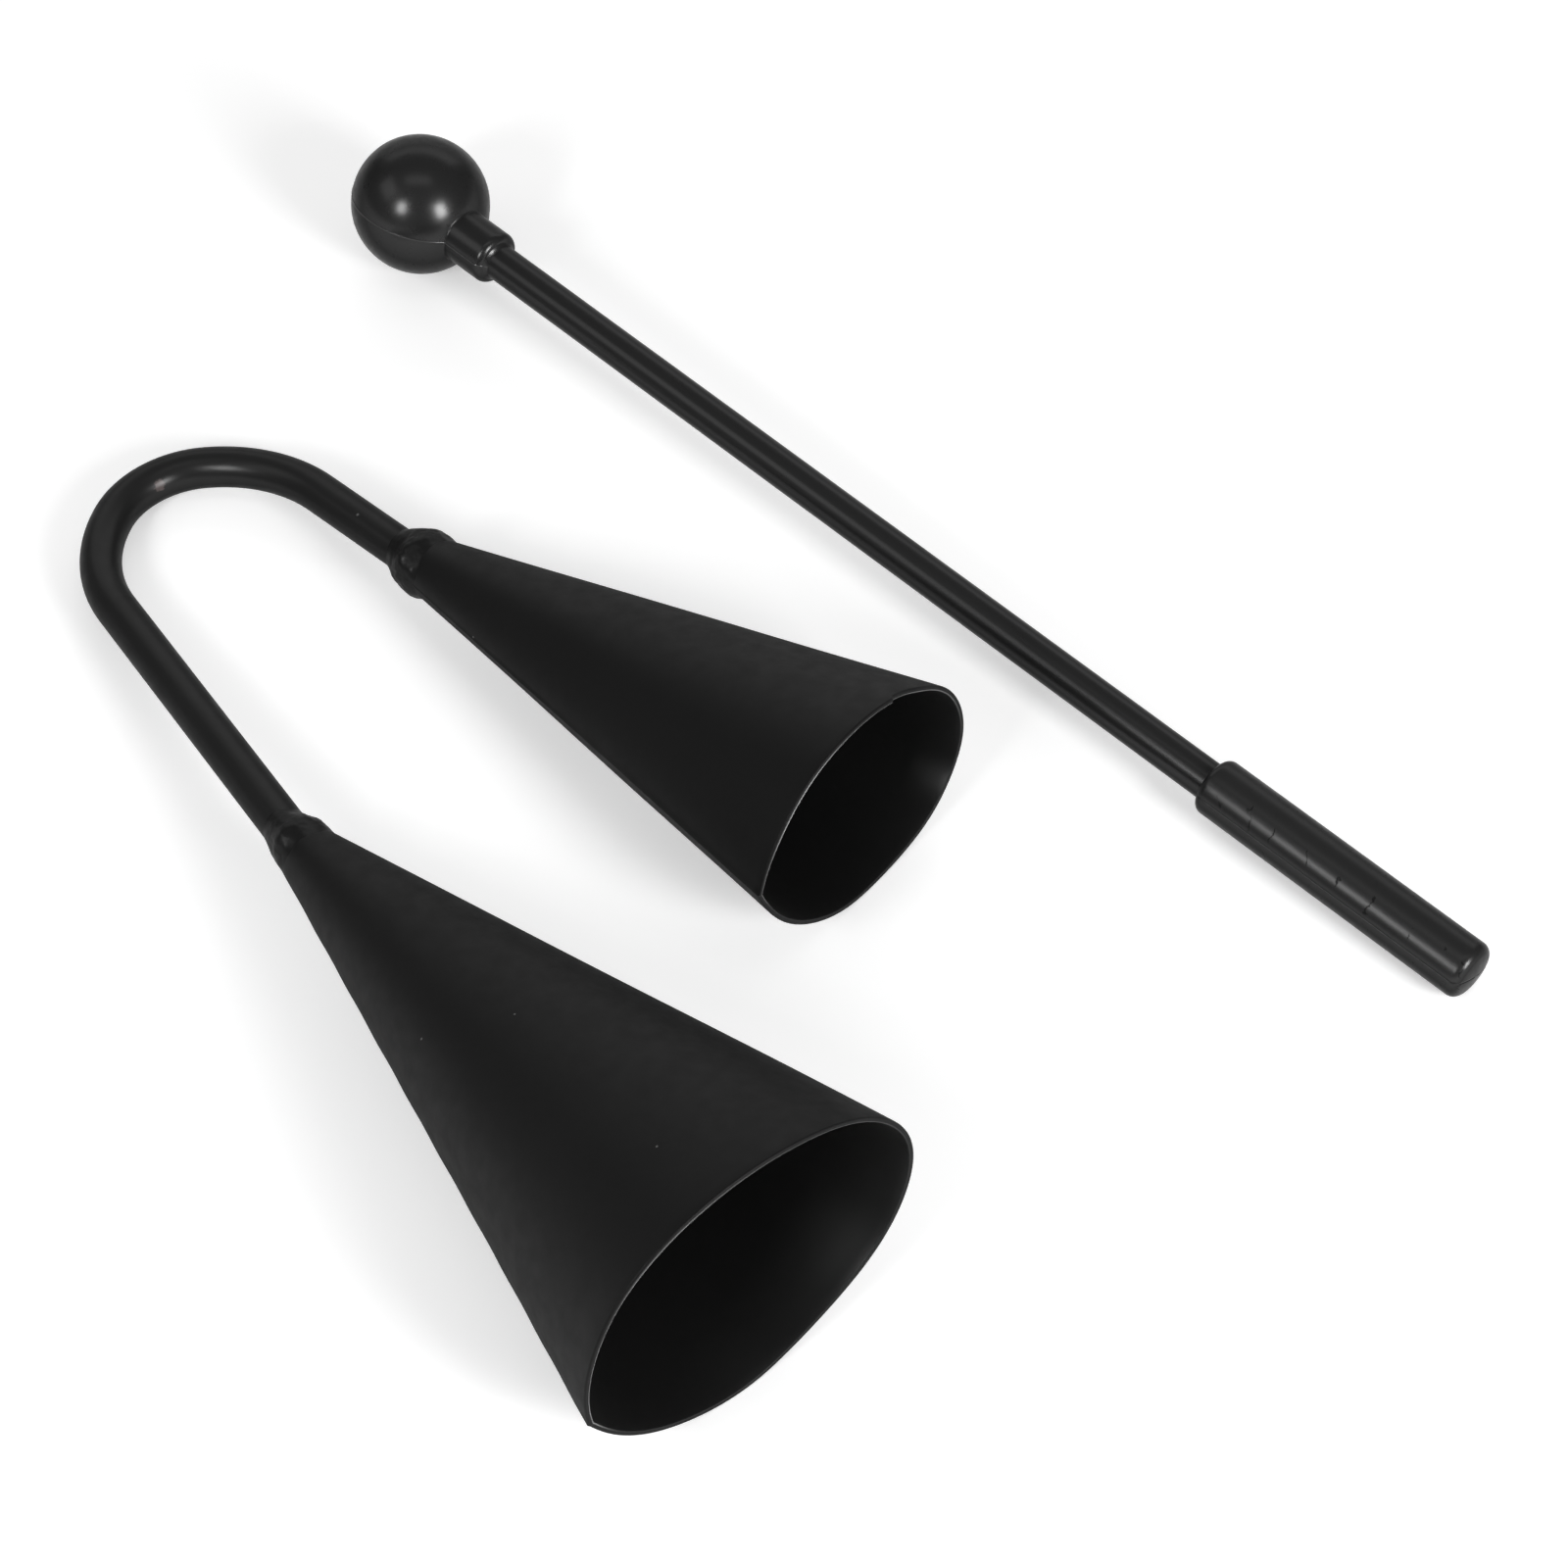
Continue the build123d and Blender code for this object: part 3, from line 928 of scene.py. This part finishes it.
# %% Beads
BEADS = {
    "large": {
        "Reach": 6.6 * MM, "Middle": -2.1 * MM, "Low": 0.4 * MM, "High": 1.1 * MM, "Blend": 1.9,
        "Puddles": 1.0, "Join": math.radians(94), "Uneven": 1.3 * MM, "Seed": 2.0,
        "Lump size": 2.3 * MM, "Lump height": 1.0 * MM,
    },
    "small": {
        "Reach": 5.7 * MM, "Middle": 1.4 * MM, "Low": 0.2 * MM, "High": 1.6 * MM, "Blend": 1.3,
        "Puddles": 2.0, "Join": math.radians(65), "Uneven": 1.6 * MM, "Seed": 7.0,
        "Lump size": 3.0 * MM, "Lump height": 1.3 * MM,
    },
}
# A lump has a turn in degrees and a place along the neck in millimetres.
LUMPS = {"large": (104, -0.8), "small": (133, 2.2)}


def on_neck(turn, along):
    """Point of the neck's surface in metres."""
    angle = math.radians(turn)
    return (NECK_RADIUS * MM * math.cos(angle), NECK_RADIUS * MM * math.sin(angle), along * MM)


def bead_on(bell):
    """One bead, with the slopes of its own cone."""
    size, roll = BELLS[bell], math.radians(BELLS[bell]["roll"])
    slope = {key: (size[key] - NECK_RADIUS) / size["length"] for key in SECTION_SIZES}
    fit = {
        "Fold slope": slope["fold"],
        "Seam slope": slope["seam"],
        "Flank slope": slope["half_height"],
        "Bar side": (math.cos(roll), -math.sin(roll), 0.0),
        "Lump": on_neck(*LUMPS[bell]),
        "Finish": weld_finish,
    }
    bead = grown(bell + "_bead", weld_tree, {**BEADS[bell], **fit})
    bead.data.transform(neck_matrix(bell))
    return bead


for bell in BEADS:
    dress(bead_on(bell), weld_finish, "bell", bell + "_bell_weld")

# %% [markdown]
# ## The beater
# The beater's head, rod and sleeve are all turned shapes, so one helper spins a profile round the
# beater's axis. The head and the sleeve come from two-part moulds: a fine line runs along both sides of
# each, where the halves met, raised on the head and sunk in the soft sleeve. The helper raises or sinks
# that line as it spins, and marks it with an attribute called line. The finish paints a tone along it:
# paler on the head, partly as whitened plastic and partly as a painted highlight of the raised ridge, and
# darker on the sleeve, as painted shade in the sunk line.

# %% Where the beater lies
BALL_RADIUS, COLLAR_RADIUS, COLLAR_END = 16.8, 6.6, 27.5
SHAFT_RADIUS, SOCKET_FLOOR = 4.4, 3.0
GRIP_START, GRIP_END, GRIP_RADIUS, GRIP_CAP = 250.5, 321.2, 6.65, 5.0
GRIP_SHOULDER, GRIP_END_ROUNDING = 2.0, 2.4
BEATER_HEADING = math.radians(7.0)

low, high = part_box("beater_head")
ball_centre = Vector((low[0] + BALL_RADIUS * MM, (low[1] + high[1]) / 2, low[2] + BALL_RADIUS * MM))
reach, drop = GRIP_END - GRIP_END_ROUNDING, GRIP_RADIUS - GRIP_END_ROUNDING
beater_tilt = math.asin((BALL_RADIUS - GRIP_END_ROUNDING) / math.hypot(reach, drop)) - math.atan2(drop, reach)
beater_turn = Matrix.Rotation(BEATER_HEADING, 4, "Z") @ Matrix.Rotation(beater_tilt, 4, "Y")
beater_matrix = Matrix.Translation(ball_centre) @ beater_turn
print("beater leans", round(math.degrees(beater_tilt), 2), "degrees")

# %% Turning
MOULD_ROLL, LINE_WIDTH = math.radians(17.5), 0.16
LINE_ANGLES = (-2.4, -1.6, -1.0, -0.5, 0.0, 0.5, 1.0, 1.6, 2.4)
SIDE_ANGLES = 60
SHORTEST = 1e-6


def rounded(centre, radius, start, end, count):
    """Points of an arc in a profile; angles in degrees from the beater's axis."""
    angles = np.radians(np.linspace(start, end, count))
    return [(centre[0] + radius * math.cos(a), centre[1] + radius * math.sin(a)) for a in angles]


def turn_angles():
    """Angles round the axis, crowded at the two sides where the mould parts."""
    near = np.array(LINE_ANGLES)
    arc = np.linspace(near[-1], 180 - near[-1], SIDE_ANGLES)[1:-1]
    return np.radians(np.concatenate([near, arc, near + 180, arc + 180]))


def turned(name, profile, line_height):
    """Spins a closed profile of (length, radius) round the axis, with a mould line along both sides."""
    angles, spine = turn_angles(), np.array(profile)
    along = np.gradient(spine, axis=0)
    along /= np.maximum(np.linalg.norm(along, axis=1, keepdims=True), SHORTEST)
    round_y, round_z = np.cos(angles - MOULD_ROLL), np.sin(angles - MOULD_ROLL)
    points, ridges = [], []
    for (x, r), (along_x, along_r) in zip(spine, along):
        if r > 0:
            ridge = np.exp(-(r * np.sin(angles) / LINE_WIDTH) ** 2)
            length, radius = x - ridge * line_height * along_r, r + ridge * line_height * along_x
            points.extend(np.stack([length, radius * round_y, radius * round_z], 1))
            ridges.append(ridge)
    wide, rings, tip = len(angles), len(ridges), len(points)
    points += [(x, 0.0, 0.0) for x, r in profile if r == 0]
    faces = band_faces(rings, wide, bands=rings - 1)
    faces += [(tip, (c + 1) % wide, c) for c in range(wide)]
    faces += [(tip + 1, tip - wide + c, tip - wide + (c + 1) % wide) for c in range(wide)]
    piece = piece_from(name, laid(points, beater_matrix), faces)
    carry(piece, "line", np.concatenate([np.ravel(ridges) * (line_height != 0), [0, 0]]))
    return piece


print("turning uses", len(turn_angles()), "angles")

# %% [markdown]
# The ball's finish is satin with a fine skin. The rod is smoother, so it shows long clean streaks of
# light. The sleeve is soft and shiny, and a few fine creases break its gloss on the side where it was
# bent. They run aslant across it, so a Mapping node first turns the pattern to the beater's axis.

# %% Creases
CREASE_TURN, CREASE_SLANT, CREASE_SCALE = math.radians(136), 0.55, 120.0
CREASE_WAVER, WAVER_SCALE = 6 * MM, 380.0
CREASE_STRIP, STRIP_EDGE, STRIP_FADE = 1.6 * MM, 3.6 * MM, 0.3


def along_beater(tree, place, squeeze=(1, 1, 1)):
    """Object coordinates turned to the beater's axis and stretched along it."""
    back = beater_matrix.inverted().to_euler()
    turn = add(tree, "ShaderNodeMapping", {"Vector": place, "Rotation": tuple(back)})
    return add(tree, "ShaderNodeMapping", {"Vector": turn.outputs[0], "Scale": squeeze}).outputs[0]


def off_crease_side(tree, part):
    """Distance from the line along the sleeve's side where the creases are."""
    side = Vector((0, math.cos(CREASE_TURN), math.sin(CREASE_TURN))) * GRIP_RADIUS * MM
    side += beater_matrix.to_3x3().inverted() @ ball_centre
    return vector(tree, "DISTANCE", joined(tree, Y=part["Y"], Z=part["Z"]), (0, side.y, side.z))


def creases(tree, place):
    """Mask that is 0 in fine creases, which run aslant on one side of the sleeve and come and go."""
    part = split(tree, along_beater(tree, place))
    slant = calc(tree, "MULTIPLY_ADD", part["Y"], CREASE_SLANT, part["X"])
    slant = calc(tree, "MULTIPLY_ADD", noise(tree, place, WAVER_SCALE), CREASE_WAVER, slant)
    edges = {"voronoi_dimensions": "1D", "feature": "DISTANCE_TO_EDGE"}
    lines = add(tree, "ShaderNodeTexVoronoi", {"W": slant, "Scale": CREASE_SCALE}, **edges)
    crack = ramp(tree, lines.outputs["Distance"], start=0.012, end=0.035)
    away = ramp(tree, off_crease_side(tree, part), CREASE_STRIP, STRIP_EDGE, last=STRIP_FADE)
    patch = calc(tree, "SUBTRACT", noise(tree, place, scale=300.0, detail=1.0), away)
    hidden = ramp(tree, patch, start=0.44, end=0.52, first=1.0, last=0.0)
    return calc(tree, "MAXIMUM", crack, hidden)


print("creases are about", round(1 / CREASE_SCALE / MM, 1), "mm apart")

# %% Beater finishes
PLASTIC_SPECULAR = 0.04
LINE_PATCHES, LINE_LEAST = 45.0, 0.1


def moulded(name, dark, pale, gloss, gloss_roughness, painted_line_tone, squeeze=(1, 1, 1), worn=False):
    """Black moulded plastic with its own gloss, and a painted tone along the mould line."""
    material, tree, shader, place = finish(name, PLASTIC_SPECULAR)
    surface = skin(tree, mould_skin, along_beater(tree, place, squeeze), Dark=grey(dark), Pale=grey(pale))
    patch = noise(tree, place, LINE_PATCHES)
    shown = ramp(tree, patch, start=0.44, end=0.56, first=LINE_LEAST)
    line = calc(tree, "MULTIPLY", attribute(tree, "line"), shown)
    # Painted light along the mould line: a pale tone stands for a raised ridge's highlight, a dark one for
    # shade in a sunk groove.
    tone = mixed(tree, line, surface["Color"], grey(painted_line_tone))
    wire(tree, shader.inputs, {"Base Color": tone, "Roughness": surface["Roughness"]})
    glossed(tree, shader, gloss, gloss_roughness, creases(tree, place) if worn else None)
    raise_skin(tree, shader, surface["Height"], strength=0.05, depth=0.0002)
    return material


# The ball's pale line tone is partly whitened plastic and partly painted highlight; the sleeve's dark one is
# painted shade in its groove.
ball_finish = moulded("satin_ball", dark=0.009, pale=0.012, gloss=1.0, gloss_roughness=0.25, painted_line_tone=0.05)
rod_finish = moulded("smooth_rod", dark=0.009, pale=0.012, gloss=0.95, gloss_roughness=0.25, painted_line_tone=0.02,
                     squeeze=(0.15, 1, 1))
sleeve_finish = moulded("soft_sleeve", dark=0.0105, pale=0.014, gloss=0.85, gloss_roughness=0.29,
                        painted_line_tone=0.004, worn=True)
print("plastic finishes:", ball_finish.name, rod_finish.name, sleeve_finish.name)

# %% Head
COLLAR_FILLET, COLLAR_ROUNDING = 0.5, 2.0
LIP_ANGLE, LEAD_IN = 14.0, 0.9
BALL_POLE, HEAD_LINE = 177.0, 0.1


def head_profile():
    """Ball, fillet, collar with a rounded lip that runs out on the rod, and the blind socket."""
    fillet_r = COLLAR_RADIUS + COLLAR_FILLET
    fillet_x = math.sqrt((BALL_RADIUS + COLLAR_FILLET) ** 2 - fillet_r ** 2)
    meet = math.degrees(math.atan2(fillet_r, fillet_x))
    profile = [(-BALL_RADIUS, 0.0)] + rounded((0, 0), BALL_RADIUS, BALL_POLE, meet, count=70)
    profile += rounded((fillet_x, fillet_r), COLLAR_FILLET, 180 + meet, 270, count=8)[1:]
    lip_centre = (COLLAR_END - COLLAR_ROUNDING, COLLAR_RADIUS - COLLAR_ROUNDING)
    profile += rounded(lip_centre, COLLAR_ROUNDING, 90, LIP_ANGLE, count=20)
    return profile + [(COLLAR_END + LEAD_IN, SHAFT_RADIUS), (SOCKET_FLOOR, SHAFT_RADIUS), (SOCKET_FLOOR, 0.0)]


dress(turned("ball_head", head_profile(), HEAD_LINE), ball_finish, "beater", "beater_head")

# %% Rod and sleeve
SHAFT_CHAMFER, SHAFT_STEPS = 0.5, 40
BORE_RADIUS, SLEEVE_STEPS, SLEEVE_LINE = 4.5, 50, -0.10
END_DOME, DOME_POLE = 12.0, 1.0


def shaft_profile():
    """Plain rod with small chamfers, from the socket's floor to the end of the sleeve's bore."""
    start, end = SOCKET_FLOOR, GRIP_END - GRIP_CAP
    steps = np.linspace(start + SHAFT_CHAMFER, end - SHAFT_CHAMFER, SHAFT_STEPS)
    inner = SHAFT_RADIUS - SHAFT_CHAMFER
    return [(start, 0.0), (start, inner)] + [(x, SHAFT_RADIUS) for x in steps] + [(end, inner), (end, 0.0)]


def sleeve_profile():
    """Closed sleeve, rounded at both ends and slightly domed at the rear, with its bore."""
    shoulder = (GRIP_START + GRIP_SHOULDER, GRIP_RADIUS - GRIP_SHOULDER)
    end = (GRIP_END - GRIP_END_ROUNDING, GRIP_RADIUS - GRIP_END_ROUNDING)
    floor = GRIP_END - GRIP_CAP
    profile = [(floor, 0.0), (floor, BORE_RADIUS), (GRIP_START, BORE_RADIUS)]
    profile += rounded(shoulder, GRIP_SHOULDER, 180, 90, count=10)
    profile += [(x, GRIP_RADIUS) for x in np.linspace(shoulder[0], end[0], SLEEVE_STEPS)[1:-1]]
    corner = rounded(end, GRIP_END_ROUNDING, 90, END_DOME, count=12)
    dome = corner[-1][1] / math.sin(math.radians(END_DOME))
    centre = corner[-1][0] - dome * math.cos(math.radians(END_DOME))
    cap = rounded((centre, 0.0), dome, END_DOME, DOME_POLE, count=8)[1:]
    return profile + corner + cap + [(centre + dome, 0.0)]


dress(turned("plastic_rod", shaft_profile(), 0.0), rod_finish, "beater", "beater_shaft")
sleeve = turned("grip_sleeve", sleeve_profile(), SLEEVE_LINE)
dress(sleeve, sleeve_finish, "beater", "beater_grip")
